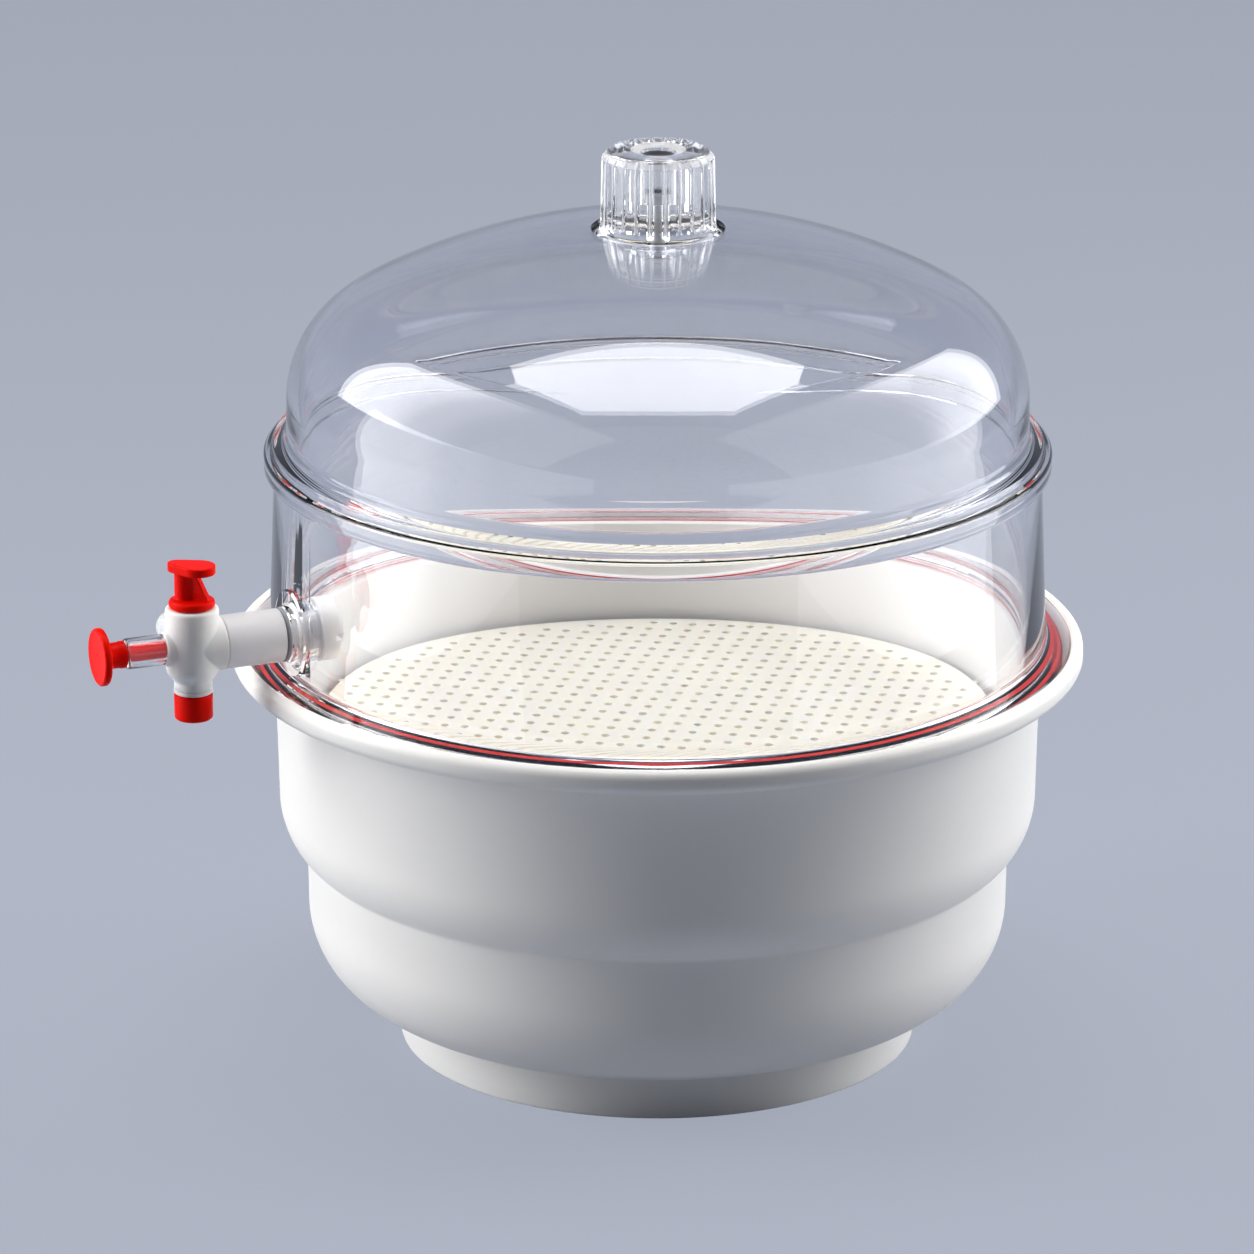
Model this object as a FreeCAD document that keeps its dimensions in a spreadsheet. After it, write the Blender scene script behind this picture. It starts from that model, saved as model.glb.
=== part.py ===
import FreeCAD, Part
import math
import os

import Sketcher
from FreeCAD import Vector

# Vacuum desiccator: a moulded bowl on a foot ring, a red gasket in its rim, a perforated plate on ribs,
# and a clear domed cover that carries a fluted knob and a three-way stopcock.
# The origin is on the foot's underside, on the vessel's axis. +Z is up and the stopcock points along -X.

SIZES = {
    # rim of the bowl, whose radius drives the bowl, the plate and the cover
    "rim_radius": 145.0,
    "rim_height": 143.0,
    "rim_depth": 8.2,
    "rim_bevel": 1.0,
    "lip_width": 3.6,
    "lip_height": 5.2,
    "outer_land_width": 5.5,
    "inner_land_width": 5.5,
    "gusset_width": 6.6,
    "gusset_height": 4.3,
    # gasket in the rim
    "groove_depth": 1.8,
    "gasket_width": 3.8,
    "gasket_height": 3.5,
    "gasket_clearance": 0.1,
    # foot and lower bowl
    "foot_setback": 31.4,
    "foot_draft": 0.4,
    "foot_wall": 4.0,
    "bowl_wall": 4.0,
    "bowl_arc": 33.3,
    "bowl_arc_height": 49.2,
    "lower_wall_draft": 0.3,
    "lower_wall_top": 69.0,
    # shoulder and upper bowl
    "shoulder_arc": 26.0,
    "shoulder_angle": 40.0,
    "shoulder_height": 88.0,
    "shoulder_step": 9.5,
    "upper_wall_draft": 0.9,
    # ribs inside the bowl and the plate that lies on them
    "rib_count": 8,
    "rib_thickness": 3.0,
    "rib_setback": 0.7,
    "plate_seat_height": 103.5,
    "plate_clearance": 4.5,
    "plate_thickness": 3.0,
    "hole_radius": 1.5,
    "hole_pitch": 34.0,
    "hole_row_shift": 11.0,
    "hole_margin": 9.0,
    # cover
    "cover_clearance": 0.5,
    "cover_wall": 4.2,
    "flange_width": 8.7,
    "flange_thickness": 4.0,
    "flange_bevel": 0.8,
    "skirt_fillet": 1.2,
    "skirt_draft": 2.2,
    "skirt_height": 64.3,
    "ridge_proud": 3.3,
    "ridge_bevel": 0.9,
    "ridge_face": 5.2,
    "ridge_step_width": 2.9,
    "ridge_step_height": 9.2,
    "ridge_slope": 3.6,
    "ridge_shelf_width": 5.0,
    "dome_wall_height": 23.8,
    "knuckle_arc": 36.4,
    "crown_arc": 220.0,
    # knob and its screw
    "knob_seat_depth": 2.2,
    "knob_seat_clearance": 0.8,
    "knob_collar_radius": 21.2,
    "knob_collar_height": 3.0,
    "knob_collar_bevel": 0.7,
    "knob_waist_radius": 18.8,
    "knob_waist_height": 4.6,
    "knob_body_radius": 19.7,
    "knob_body_draft": 0.6,
    "knob_chamfer_height": 4.0,
    "knob_top_radius": 16.4,
    "knob_height": 28.2,
    "knob_dish_radius": 9.0,
    "knob_dish_depth": 0.8,
    "flute_count": 24,
    "flute_radius": 2.5,
    "flute_depth": 1.0,
    "counterbore_radius": 5.7,
    "counterbore_depth": 16.8,
    "screw_radius": 2.4,
    "screw_hole_clearance": 0.2,
    "screw_head_radius": 4.5,
    "screw_head_height": 3.2,
    "screw_socket_radius": 2.3,
    "screw_socket_depth": 1.8,
    "screw_reach": 8.0,
    "screw_end_gap": 0.5,
    "screw_boss_radius": 9.0,
    "screw_boss_height": 9.6,
    # port in the cover
    "port_rise": 19.5,
    "port_pad_radius": 15.0,
    "port_pad_height": 1.5,
    "port_boss_radius": 9.6,
    "port_boss_height": 3.3,
    "inner_boss_radius": 10.6,
    "inner_boss_height": 4.8,
    "spigot_radius": 6.5,
    "spigot_clearance": 0.2,
    "spigot_end": 2.2,
    "port_seal_radius": 9.2,
    "port_seal_thickness": 1.6,
    "port_nut_radius": 11.0,
    "port_nut_thickness": 5.5,
    "nut_slot_width": 2.4,
    "nut_slot_depth": 2.0,
    # stopcock barrel
    "barrel_overhang": 22.0,
    "barrel_radius": 9.0,
    "barrel_top": 13.5,
    "barrel_drop": 7.5,
    "barrel_edge": 0.6,
    "neck_cone_height": 4.3,
    "neck_radius": 6.2,
    "neck_drop": 14.6,
    "nozzle_boss_radius": 5.7,
    "nozzle_boss_reach": 10.3,
    "tube_boss_radius": 9.4,
    "tube_boss_reach": 10.0,
    "socket_depth": 2.4,
    "passage_radius": 2.4,
    "joint_gap": 0.05,
    # tubes that end in the barrel
    "nozzle_radius": 5.2,
    "nozzle_reach": 23.6,
    "nozzle_edge": 0.7,
    "nozzle_tail_radius": 4.4,
    "tube_radius": 9.05,
    "tube_tail_radius": 7.0,
    # key, cap and seals
    "running_clearance": 0.1,
    "end_clearance": 0.3,
    "plug_radius": 6.2,
    "plug_bottom": 10.7,
    "plug_bore_radius": 2.0,
    "seal_width": 1.8,
    "seal_groove_gap": 0.1,
    "upper_seal_height": 8.0,
    "lower_seal_drop": 7.2,
    "spindle_radius": 3.9,
    "spindle_drop": 24.0,
    "key_flange_radius": 7.75,
    "key_flange_height": 2.6,
    "key_flange_edge": 0.9,
    "key_stem_radius": 3.3,
    "key_stem_offset": 2.7,
    "key_web_thickness": 2.6,
    "key_web_foot": 7.2,
    "key_web_top": 1.9,
    "lever_height": 25.6,
    "lever_thickness": 2.9,
    "lever_heel_radius": 5.8,
    "lever_heel_offset": 2.6,
    "lever_tip_radius": 3.4,
    "lever_tip_offset": 5.0,
    "handle_angle": 135.0,
    "slip_washer_thickness": 1.6,
    "cap_radius": 6.5,
    "cap_floor": 1.4,
    "cap_bevel": 1.2,
    # vent stopper
    "stopper_stem_radius": 3.65,
    "stopper_clearance": 0.07,
    "stopper_depth": 13.7,
    "stopper_bore_end": 0.4,
    "stopper_gap": 0.25,
    "stopper_neck_radius": 4.5,
    "stopper_neck_length": 6.9,
    "stopper_disc_radius": 9.75,
    "stopper_disc_thickness": 2.7,
    "stopper_disc_edge": 0.8,
}


class Size:
    """A value and the sheet expression that gives it, so that what is drawn with it is also bound to it."""

    def __init__(self, value, text):
        self.value = float(value)
        self.text = text

    def __add__(self, other):
        other = as_size(other)
        return Size(self.value + other.value, f"({self.text} + {other.text})")

    def __sub__(self, other):
        other = as_size(other)
        return Size(self.value - other.value, f"({self.text} - {other.text})")

    def __mul__(self, other):
        other = as_size(other)
        return Size(self.value * other.value, f"({self.text} * {other.text})")

    def __truediv__(self, other):
        other = as_size(other)
        return Size(self.value / other.value, f"({self.text} / {other.text})")

    def __neg__(self):
        return Size(-self.value, f"(0 - {self.text})")


def as_size(number):
    return number if isinstance(number, Size) else Size(number, repr(float(number)))


def cosine(angle):
    return Size(math.cos(math.radians(angle.value)), f"cos({angle.text})")


def sine(angle):
    return Size(math.sin(math.radians(angle.value)), f"sin({angle.text})")


def arcsine(ratio):
    return Size(math.degrees(math.asin(ratio.value)), f"(asin({ratio.text}) / 1 deg)")


def leg(long_side, short_side):
    """The third side of a right triangle, from its longest side and one other."""
    squares = long_side * long_side - short_side * short_side
    return Size(math.sqrt(squares.value), f"sqrt({squares.text})")


def size(name):
    return Size(SIZES[name], f"Sizes.{name}")


ZERO = Size(0.0, "0")
LEFT = 1
RIGHT = -1

doc = FreeCAD.newDocument("vacuum_desiccator")
sheet = doc.addObject("Spreadsheet::Sheet", "Sizes")
for row, (alias, value) in enumerate(SIZES.items(), start=1):
    sheet.set(f"A{row}", alias)
    sheet.set(f"B{row}", str(value))
    sheet.setAlias(f"B{row}", alias)
doc.recompute()


# Drawing helpers

def new_body(name, x=ZERO, z=ZERO, turn=None):
    body = doc.addObject("PartDesign::Body", name)
    body.Label = name
    body.setExpression("Placement.Base.x", x.text)
    body.setExpression("Placement.Base.z", z.text)
    if turn is not None:
        body.Placement = FreeCAD.Placement(Vector(x.value, 0, z.value), Vector(0, 0, 1), turn.value)
        body.setExpression("Placement.Rotation.Angle", turn.text)
    return body


def new_sketch(body, name, role, offset=ZERO):
    sketch = body.newObject("Sketcher::SketchObject", name)
    plane = [feature for feature in body.Origin.OriginFeatures if feature.Role == role][0]
    sketch.AttachmentSupport = [(plane, "")]
    sketch.MapMode = "FlatFace"
    if offset is not ZERO:
        sketch.setExpression("AttachmentOffset.Base.z", offset.text)
    return sketch


def bind(sketch, constraint, length):
    index = sketch.addConstraint(constraint)
    sketch.setExpression(f"Constraints[{index}]", length.text)


def pin_point(sketch, edge, point, x, y):
    """Hold a point of the sketch at x, y. A point on an axis is tied to that axis."""
    if x is ZERO:
        sketch.addConstraint(Sketcher.Constraint("PointOnObject", edge, point, -2))
    else:
        bind(sketch, Sketcher.Constraint("DistanceX", -1, 1, edge, point, x.value), x)
    if y is ZERO:
        sketch.addConstraint(Sketcher.Constraint("PointOnObject", edge, point, -1))
    else:
        bind(sketch, Sketcher.Constraint("DistanceY", -1, 1, edge, point, y.value), y)


def arc_between(start, end, radius, side):
    """The short arc from start to end, with its centre on the given side of the way travelled."""
    chord = end - start
    half = chord.Length / 2
    left = Vector(-chord.y, chord.x, 0).normalize()
    centre = (start + end) / 2 + left * (side * math.sqrt(max(radius * radius - half * half, 0.0)))
    first, last = (start, end) if side == LEFT else (end, start)
    angles = [math.atan2((point - centre).y, (point - centre).x) for point in (first, last)]
    return Part.ArcOfCircle(Part.Circle(centre, Vector(0, 0, 1), radius), *angles)


def draw_outline(sketch, corners):
    """Draw a closed outline. A corner is (x, y), or (x, y, radius, side) where the next edge is an arc."""
    edges = []
    for index, corner in enumerate(corners):
        after = corners[(index + 1) % len(corners)]
        start = Vector(corner[0].value, corner[1].value, 0)
        end = Vector(after[0].value, after[1].value, 0)
        if len(corner) == 2:
            edge = sketch.addGeometry(Part.LineSegment(start, end), False)
            edges.append((edge, 1, 2))
        else:
            radius, side = corner[2:]
            edge = sketch.addGeometry(arc_between(start, end, radius.value, side), False)
            edges.append((edge, 1, 2) if side == LEFT else (edge, 2, 1))
            bind(sketch, Sketcher.Constraint("Radius", edge, radius.value), radius)
    for index, (edge, start_point, end_point) in enumerate(edges):
        next_edge, next_start, _ = edges[(index + 1) % len(edges)]
        sketch.addConstraint(Sketcher.Constraint("Coincident", edge, end_point, next_edge, next_start))
        pin_point(sketch, edge, start_point, *corners[index][:2])


def chords(centre_x, centre_y, radius, first, last, count):
    """The points between the ends of an arc drawn as straight chords, for surfaces that stay out of sight."""
    angles = [first + (last - first) * as_size(step) / count for step in range(1, count)]
    return [(centre_x + radius * cosine(angle), centre_y + radius * sine(angle)) for angle in angles]


def draw_circle(sketch, x, y, radius):
    circle = sketch.addGeometry(Part.Circle(Vector(x.value, y.value, 0), Vector(0, 0, 1), radius.value), False)
    bind(sketch, Sketcher.Constraint("Radius", circle, radius.value), radius)
    pin_point(sketch, circle, 3, x, y)


def revolve(body, name, corners, axis="V_Axis", cut=False):
    """Turn an outline in the upright plane about the vertical (V_Axis) or level (H_Axis) axis."""
    sketch = new_sketch(body, name + "_outline", "XZ_Plane")
    draw_outline(sketch, corners)
    feature = body.newObject("PartDesign::Groove" if cut else "PartDesign::Revolution", name)
    feature.Profile = sketch
    feature.ReferenceAxis = (sketch, [axis])
    feature.Angle = 360
    return feature


def extrude(body, name, sketch, length, symmetric=False, cut=False):
    """Pad or pocket a sketch along its own normal."""
    feature = body.newObject("PartDesign::Pocket" if cut else "PartDesign::Pad", name)
    feature.Profile = sketch
    feature.setExpression("Length", length.text)
    if symmetric:
        feature.SideType = "Symmetric"
    elif cut:
        feature.Reversed = True
    return feature


def disc(body, name, role, start, length, radius, x=ZERO, y=ZERO, cut=False):
    """A round pad or hole whose end nearer the plane's back lies at start."""
    sketch = new_sketch(body, name + "_circle", role, start)
    draw_circle(sketch, x, y, radius)
    return extrude(body, name, sketch, length, cut=cut)


def repeat_round(body, name, feature, count):
    pattern = body.newObject("PartDesign::PolarPattern", name)
    pattern.Originals = [feature]
    axis = [item for item in body.Origin.OriginFeatures if item.Role == "Z_Axis"][0]
    pattern.Axis = (axis, [""])
    pattern.Angle = 360
    pattern.setExpression("Occurrences", count.text)
    body.Tip = pattern
    return pattern


def ring(name, x, z, start, length, inner, outer):
    """A plain ring on the port's axis, from start along +X."""
    body = new_body(name, x, z)
    corners = [(start, inner), (start + length, inner), (start + length, outer), (start, outer)]
    revolve(body, name + "_turn", corners, "H_Axis")
    return body


# Heights and radii that several pieces share

wall = size("bowl_wall")
rim_top = size("rim_height")
rim_bottom = rim_top - size("rim_depth")
seat_height = rim_top - size("lip_height")
lip_inner = size("rim_radius") - size("lip_width")
groove_floor = seat_height - size("groove_depth")
groove_outer = lip_inner - size("outer_land_width")
groove_inner = groove_outer - size("gasket_width") - size("gasket_clearance") * 2
seal_height = groove_floor + size("gasket_height")
upper_top_radius = groove_inner - size("inner_land_width") + wall
upper_wall_radius = upper_top_radius - size("upper_wall_draft")
lower_wall_radius = upper_wall_radius - size("shoulder_step")
shoulder_centre = upper_wall_radius - size("shoulder_arc")
shoulder_cosine = cosine(size("shoulder_angle"))
shoulder_sine = sine(size("shoulder_angle"))
lower_top_radius = lower_wall_radius + size("lower_wall_draft")


# Bowl: one moulding with its foot ring, step, rim and plate ribs

def shoulder_point(depth):
    """Where the shoulder's arc ends, a given depth under the outer surface."""
    reach = size("shoulder_arc") - depth
    across = shoulder_centre + reach * shoulder_cosine
    height = size("shoulder_height") - reach * shoulder_sine
    return across, height


bowl = new_body("base_bowl")
bowl_arc = size("bowl_arc")
bowl_arc_centre = lower_wall_radius - bowl_arc
foot_radius = lower_wall_radius - size("foot_setback")
foot_top_radius = foot_radius - size("foot_draft")
foot_top = size("bowl_arc_height") - leg(bowl_arc, foot_top_radius - bowl_arc_centre)
bowl_underside = size("bowl_arc_height") - bowl_arc
bevel = size("rim_bevel")
inner_corner = size("lower_wall_top") + wall / 2
bowl_corners = [
    (foot_radius, ZERO),
    (foot_top_radius, foot_top, bowl_arc, LEFT),
    (lower_wall_radius, size("bowl_arc_height")),
    (lower_top_radius, size("lower_wall_top")),
    (*shoulder_point(ZERO), size("shoulder_arc"), LEFT),
    (upper_wall_radius, size("shoulder_height")),
    (upper_top_radius, rim_bottom - size("gusset_height")),
    (upper_top_radius + size("gusset_width"), rim_bottom),
    (size("rim_radius") - bevel, rim_bottom),
    (size("rim_radius"), rim_bottom + bevel),
    (size("rim_radius"), rim_top - bevel),
    (size("rim_radius") - bevel, rim_top),
    (lip_inner, rim_top),
    (lip_inner, seat_height),
    (groove_outer, seat_height),
    (groove_outer, groove_floor),
    (groove_inner, groove_floor),
    (groove_inner, seat_height),
    (upper_top_radius - wall, seat_height),
    (upper_wall_radius - wall, size("shoulder_height")),
    shoulder_point(wall),
    (lower_top_radius - wall, inner_corner),
    (lower_wall_radius - wall, size("bowl_arc_height")),
    *chords(bowl_arc_centre, size("bowl_arc_height"), bowl_arc - wall, ZERO, as_size(-90), 3),
    (bowl_arc_centre, bowl_underside + wall),
    (ZERO, bowl_underside + wall),
    (ZERO, bowl_underside),
    (foot_top_radius - size("foot_wall"), bowl_underside),
    (foot_radius - size("foot_wall"), ZERO),
]
revolve(bowl, "bowl_shell", bowl_corners)

rib_inner = lower_top_radius - wall + size("rib_setback")
rib_outer = upper_wall_radius - wall / 2
rib_sketch = new_sketch(bowl, "rib_outline", "XZ_Plane")
rib_corners = [
    (rib_inner, size("lower_wall_top") + wall / 8),
    (rib_inner + wall / 4, size("lower_wall_top") + wall / 8),
    shoulder_point(wall / 2),
    (rib_outer, size("shoulder_height")),
    (rib_outer, size("plate_seat_height")),
    (rib_inner, size("plate_seat_height")),
]
draw_outline(rib_sketch, rib_corners)
rib = extrude(bowl, "plate_rib", rib_sketch, size("rib_thickness"), symmetric=True)
repeat_round(bowl, "plate_ribs", rib, size("rib_count"))


# Gasket: a flat-topped ring in the groove of the rim

gasket = new_body("rim_gasket")
gasket_inner = groove_inner + size("gasket_clearance")
gasket_outer = gasket_inner + size("gasket_width")
gasket_corners = [
    (gasket_inner, groove_floor),
    (gasket_outer, groove_floor),
    (gasket_outer, seal_height),
    (gasket_inner, seal_height),
]
revolve(gasket, "gasket_ring", gasket_corners)


# Plate: a round shelf with a field of small holes in slanting rows

plate = new_body("perforated_plate")
plate_radius = upper_wall_radius - wall - size("plate_clearance")
plate_seat = size("plate_seat_height")
disc(plate, "plate_disc", "XY_Plane", plate_seat, size("plate_thickness"), plate_radius)
hole_sketch = new_sketch(plate, "hole_field", "XY_Plane", plate_seat)
pitch = size("hole_pitch")
field = plate_radius - size("hole_margin")
hole_reach = math.ceil(2 * field.value / pitch.value)
for line in range(-hole_reach, hole_reach + 1):
    for step in range(-hole_reach, hole_reach + 1):
        hole_x = pitch * step + size("hole_row_shift") * line
        hole_y = pitch * line
        if math.hypot(hole_x.value, hole_y.value) < field.value:
            draw_circle(hole_sketch, hole_x, hole_y, size("hole_radius"))
extrude(plate, "plate_holes", hole_sketch, size("plate_thickness"), cut=True)


# Cover: a clear moulding with flange, skirt, ridge and dome, a seat for the knob and a port

cover = new_body("cover_dome")
cover_wall = size("cover_wall")
flange_radius = lip_inner - size("cover_clearance")
flange_top = seal_height + size("flange_thickness")
flange_bevel = size("flange_bevel")
skirt_fillet = size("skirt_fillet")
skirt_radius = flange_radius - size("flange_width")
skirt_top_radius = skirt_radius - size("skirt_draft")
ridge_bottom = seal_height + size("skirt_height")
ridge_bevel = size("ridge_bevel")
ridge_radius = skirt_top_radius + size("ridge_proud")
ridge_step_radius = ridge_radius - size("ridge_step_width")
ridge_slope = size("ridge_slope")
ridge_step = ridge_bottom + size("ridge_step_height")
dome_radius = ridge_step_radius - size("ridge_shelf_width")
dome_start = ridge_bottom + size("dome_wall_height")
knuckle = size("knuckle_arc")
knuckle_centre = dome_radius - knuckle
crown_arc = size("crown_arc")
centre_drop = leg(crown_arc - knuckle, knuckle_centre)
crown_centre = dome_start - centre_drop
apex = crown_centre + crown_arc
knob_seat = apex - size("knob_seat_depth")
knob_seat_radius = size("knob_collar_radius") + size("knob_seat_clearance")
screw_radius = size("screw_radius")
thread_bore = screw_radius + size("joint_gap")
screw_boss = size("screw_boss_radius")
screw_hole_end = knob_seat - size("screw_reach") - size("screw_end_gap")
inner_crown = crown_arc - cover_wall
boss_lean = arcsine(screw_boss / inner_crown)
crown_sine = knuckle_centre / (crown_arc - knuckle)
crown_lean = arcsine(crown_sine)


def crown_meets_knuckle(depth):
    """Where the crown and the knuckle are tangent, a given depth under the outer surface."""
    reach = crown_arc - depth
    return reach * crown_sine, crown_centre + reach * centre_drop / (crown_arc - knuckle)


cover_corners = [
    (skirt_radius - cover_wall, seal_height),
    (flange_radius, seal_height),
    (flange_radius, flange_top - flange_bevel),
    (flange_radius - flange_bevel, flange_top),
    (skirt_radius + skirt_fillet, flange_top),
    (skirt_radius, flange_top + skirt_fillet),
    (skirt_top_radius, ridge_bottom),
    (ridge_radius - ridge_bevel, ridge_bottom),
    (ridge_radius, ridge_bottom + ridge_bevel),
    (ridge_radius, ridge_bottom + size("ridge_face")),
    (ridge_radius - ridge_bevel, ridge_bottom + size("ridge_face") + ridge_bevel),
    (ridge_step_radius, ridge_bottom + size("ridge_face") + ridge_bevel),
    (ridge_step_radius, ridge_step),
    (dome_radius + ridge_slope, ridge_step),
    (dome_radius, ridge_step + ridge_slope),
    (dome_radius, dome_start, knuckle, LEFT),
    (*crown_meets_knuckle(ZERO), crown_arc, LEFT),
    (knob_seat_radius, crown_centre + leg(crown_arc, knob_seat_radius)),
    (knob_seat_radius, knob_seat),
    (thread_bore, knob_seat),
    (thread_bore, screw_hole_end),
    (ZERO, screw_hole_end),
    (ZERO, knob_seat - size("screw_boss_height")),
    (screw_boss, knob_seat - size("screw_boss_height")),
    (screw_boss, crown_centre + leg(inner_crown, screw_boss)),
    *chords(ZERO, crown_centre, inner_crown, as_size(90) - boss_lean, as_size(90) - crown_lean, 3),
    crown_meets_knuckle(cover_wall),
    *chords(knuckle_centre, dome_start, knuckle - cover_wall, as_size(90) - crown_lean, ZERO, 3),
    (dome_radius - cover_wall, dome_start),
    (dome_radius - cover_wall, ridge_step),
    (skirt_top_radius - cover_wall, ridge_bottom),
    (skirt_radius - cover_wall, flange_top),
]
revolve(cover, "cover_shell", cover_corners)

port_height = seal_height + size("port_rise")
skirt_at_port = skirt_radius - size("skirt_draft") * size("port_rise") / size("skirt_height")
port_face = skirt_at_port + size("port_boss_height")
inner_face = skirt_at_port - cover_wall - size("inner_boss_height")
port_bore = size("spigot_radius") + size("spigot_clearance")
pad_face = skirt_at_port + size("port_pad_height")
mid_wall = skirt_at_port - cover_wall / 2
disc(cover, "port_pad", "YZ_Plane", -pad_face, pad_face - mid_wall, size("port_pad_radius"), ZERO, port_height)
disc(cover, "port_boss", "YZ_Plane", -port_face, port_face - mid_wall, size("port_boss_radius"), ZERO, port_height)
disc(cover, "inner_boss", "YZ_Plane", -mid_wall, mid_wall - inner_face, size("inner_boss_radius"), ZERO, port_height)
disc(cover, "port_hole", "YZ_Plane", -port_face, port_face - inner_face, port_bore, ZERO, port_height, cut=True)


# Knob: a fluted grip with a collar that sits in the dome's recess

knob = new_body("lift_knob", z=knob_seat)
collar = size("knob_collar_radius")
collar_bevel = size("knob_collar_bevel")
knob_height = size("knob_height")
body_radius = size("knob_body_radius")
body_top_radius = body_radius - size("knob_body_draft")
body_top = knob_height - size("knob_chamfer_height")
flute_bottom = size("knob_waist_height")
counterbore = size("counterbore_radius")
head_seat = knob_height - size("counterbore_depth")
knob_hole = screw_radius + size("screw_hole_clearance")
knob_corners = [
    (knob_hole, ZERO),
    (collar, ZERO),
    (collar, size("knob_collar_height") - collar_bevel),
    (collar - collar_bevel, size("knob_collar_height")),
    (size("knob_waist_radius"), flute_bottom),
    (body_radius, flute_bottom + body_radius - size("knob_waist_radius")),
    (body_top_radius, body_top),
    (size("knob_top_radius"), knob_height),
    (size("knob_dish_radius"), knob_height),
    (size("knob_dish_radius"), knob_height - size("knob_dish_depth")),
    (counterbore, knob_height - size("knob_dish_depth")),
    (counterbore, head_seat),
    (knob_hole, head_seat),
]
revolve(knob, "knob_turn", knob_corners)
flute_place = body_top_radius - size("flute_depth") + size("flute_radius")
flute = disc(knob, "flute", "XY_Plane", flute_bottom, knob_height - flute_bottom, size("flute_radius"),
             flute_place, ZERO, cut=True)
repeat_round(knob, "flutes", flute, size("flute_count"))


# Screw: holds the knob to the dome's blind boss

screw = new_body("knob_screw", z=knob_seat)
head_top = head_seat + size("screw_head_height")
screw_corners = [
    (ZERO, -size("screw_reach")),
    (screw_radius, -size("screw_reach")),
    (screw_radius, head_seat),
    (size("screw_head_radius"), head_seat),
    (size("screw_head_radius"), head_top),
    (ZERO, head_top),
]
revolve(screw, "screw_turn", screw_corners)
socket_sketch = new_sketch(screw, "socket_outline", "XY_Plane", head_top - size("screw_socket_depth"))
socket_corners = []
for side in range(6):
    corner_angle = as_size(30 + 60 * side)
    socket_corners.append((size("screw_socket_radius") * cosine(corner_angle),
                           size("screw_socket_radius") * sine(corner_angle)))
draw_outline(socket_sketch, socket_corners)
extrude(screw, "screw_socket", socket_sketch, size("screw_socket_depth"), cut=True)


# Port fittings: a seal outside and a round nut inside, both on the tube's spigot

barrel_x = -(size("rim_radius") + size("barrel_overhang"))
fitting_bore = size("spigot_radius") + size("joint_gap")
seal_start = -(port_face + size("port_seal_thickness"))
ring("port_seal", ZERO, port_height, seal_start, size("port_seal_thickness"), fitting_bore,
     size("port_seal_radius"))
nut = ring("port_nut", ZERO, port_height, -inner_face, size("port_nut_thickness"), fitting_bore,
           size("port_nut_radius"))
nut_end = size("port_nut_thickness") - inner_face
slot_sketch = new_sketch(nut, "nut_slot_outline", "YZ_Plane", nut_end - size("nut_slot_depth"))
slot_half = size("nut_slot_width") / 2
slot_end = size("port_nut_radius") + size("nut_slot_width")
draw_outline(slot_sketch, [(-slot_end, -slot_half), (slot_end, -slot_half), (slot_end, slot_half),
                           (-slot_end, slot_half)])
extrude(nut, "nut_slots", slot_sketch, size("nut_slot_depth"), cut=True)


# Spigot tube: from the barrel's socket through the cover's wall

tube = new_body("spigot_tube", barrel_x, port_height)
tube_shoulder = seal_start - barrel_x
tube_end = nut_end + size("spigot_end") - barrel_x
tube_face = size("tube_boss_reach")
tube_tail = tube_face - size("socket_depth")
passage = size("passage_radius")
tube_corners = [
    (tube_tail, passage),
    (tube_end, passage),
    (tube_end, size("spigot_radius")),
    (tube_shoulder, size("spigot_radius")),
    (tube_shoulder, size("tube_radius")),
    (tube_face, size("tube_radius")),
    (tube_face, size("tube_tail_radius")),
    (tube_tail, size("tube_tail_radius")),
]
revolve(tube, "tube_turn", tube_corners, "H_Axis")


# Barrel: the stopcock's housing, with a socket for each of its three tubes

barrel = new_body("stopcock_barrel", barrel_x, port_height)
barrel_radius = size("barrel_radius")
barrel_top = size("barrel_top")
bore_radius = size("plug_radius") + size("running_clearance")
bore_floor = -(size("plug_bottom") + size("end_clearance"))
neck_top = -(size("barrel_drop") + size("neck_cone_height"))
neck_bottom = -size("neck_drop")
spindle_bore = size("spindle_radius") + size("running_clearance")
barrel_edge = size("barrel_edge")
barrel_corners = [
    (ZERO, neck_bottom),
    (size("neck_radius"), neck_bottom),
    (size("neck_radius"), neck_top),
    (barrel_radius, -size("barrel_drop")),
    (barrel_radius, barrel_top - barrel_edge),
    (barrel_radius - barrel_edge, barrel_top),
    (ZERO, barrel_top),
]
revolve(barrel, "barrel_turn", barrel_corners)
nozzle_face = size("nozzle_boss_reach")
disc(barrel, "vent_boss", "YZ_Plane", -nozzle_face, nozzle_face, size("nozzle_boss_radius"))
disc(barrel, "hose_boss", "XZ_Plane", -nozzle_face, nozzle_face, size("nozzle_boss_radius"))
disc(barrel, "tube_boss", "YZ_Plane", ZERO, tube_face, size("tube_boss_radius"))
disc(barrel, "plug_bore", "XY_Plane", bore_floor, barrel_top - bore_floor, bore_radius, cut=True)
disc(barrel, "spindle_bore", "XY_Plane", neck_bottom, bore_floor - neck_bottom, spindle_bore, cut=True)
socket_depth = size("socket_depth")
nozzle_socket = size("nozzle_tail_radius") + size("joint_gap")
tube_socket = size("tube_tail_radius") + size("joint_gap")
disc(barrel, "vent_socket", "YZ_Plane", -nozzle_face, socket_depth, nozzle_socket, cut=True)
disc(barrel, "hose_socket", "XZ_Plane", -nozzle_face, socket_depth, nozzle_socket, cut=True)
disc(barrel, "tube_socket", "YZ_Plane", tube_tail, socket_depth, tube_socket, cut=True)
disc(barrel, "level_passage", "YZ_Plane", -nozzle_face, nozzle_face + tube_face, passage, cut=True)
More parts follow.
